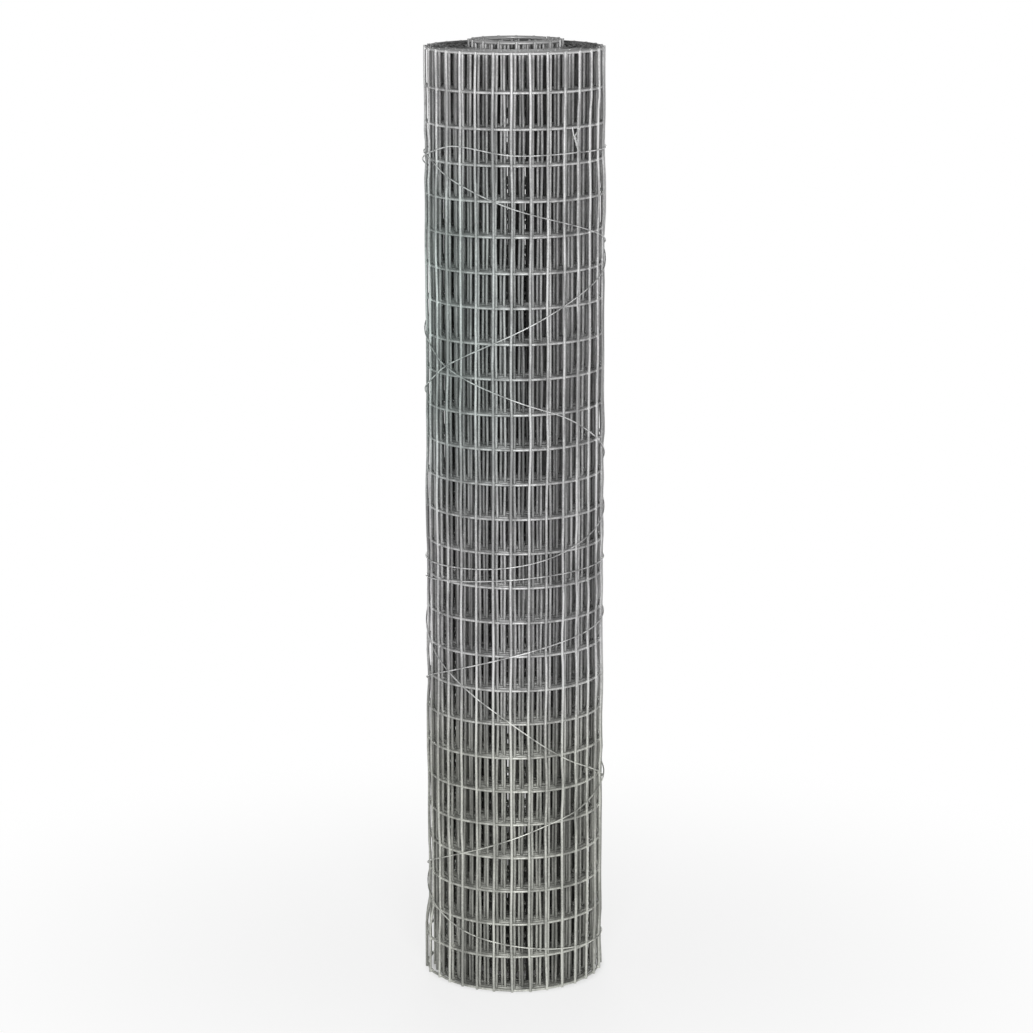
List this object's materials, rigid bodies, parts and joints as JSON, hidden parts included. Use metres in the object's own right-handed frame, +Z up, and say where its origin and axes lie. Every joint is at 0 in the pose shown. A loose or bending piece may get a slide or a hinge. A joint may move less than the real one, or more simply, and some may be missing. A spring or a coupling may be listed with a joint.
{
  "type": "roll of wire fencing",
  "caption": "Upright roll of galvanised welded wire mesh fencing with an open bore, lashed shut by one thin binding wire wound down it and back up.",
  "frame": {"origin": "centre of the roll's lower end, on the level that the roll stands on", "axes": "+Z up along the axis of the roll, -Y towards the viewer of the picture"},
  "size_m": [0.1348, 0.133, 0.6924],
  "materials": {
    "galvanised_mesh": "dull zinc coating over drawn steel wire",
    "binding_wire": "bright zinc-coated soft wire"
  },
  "bodies": {
    "root": {"mesh_roll": "galvanised_mesh", "binding_wire": "binding_wire"}
  },
  "joints": []
}
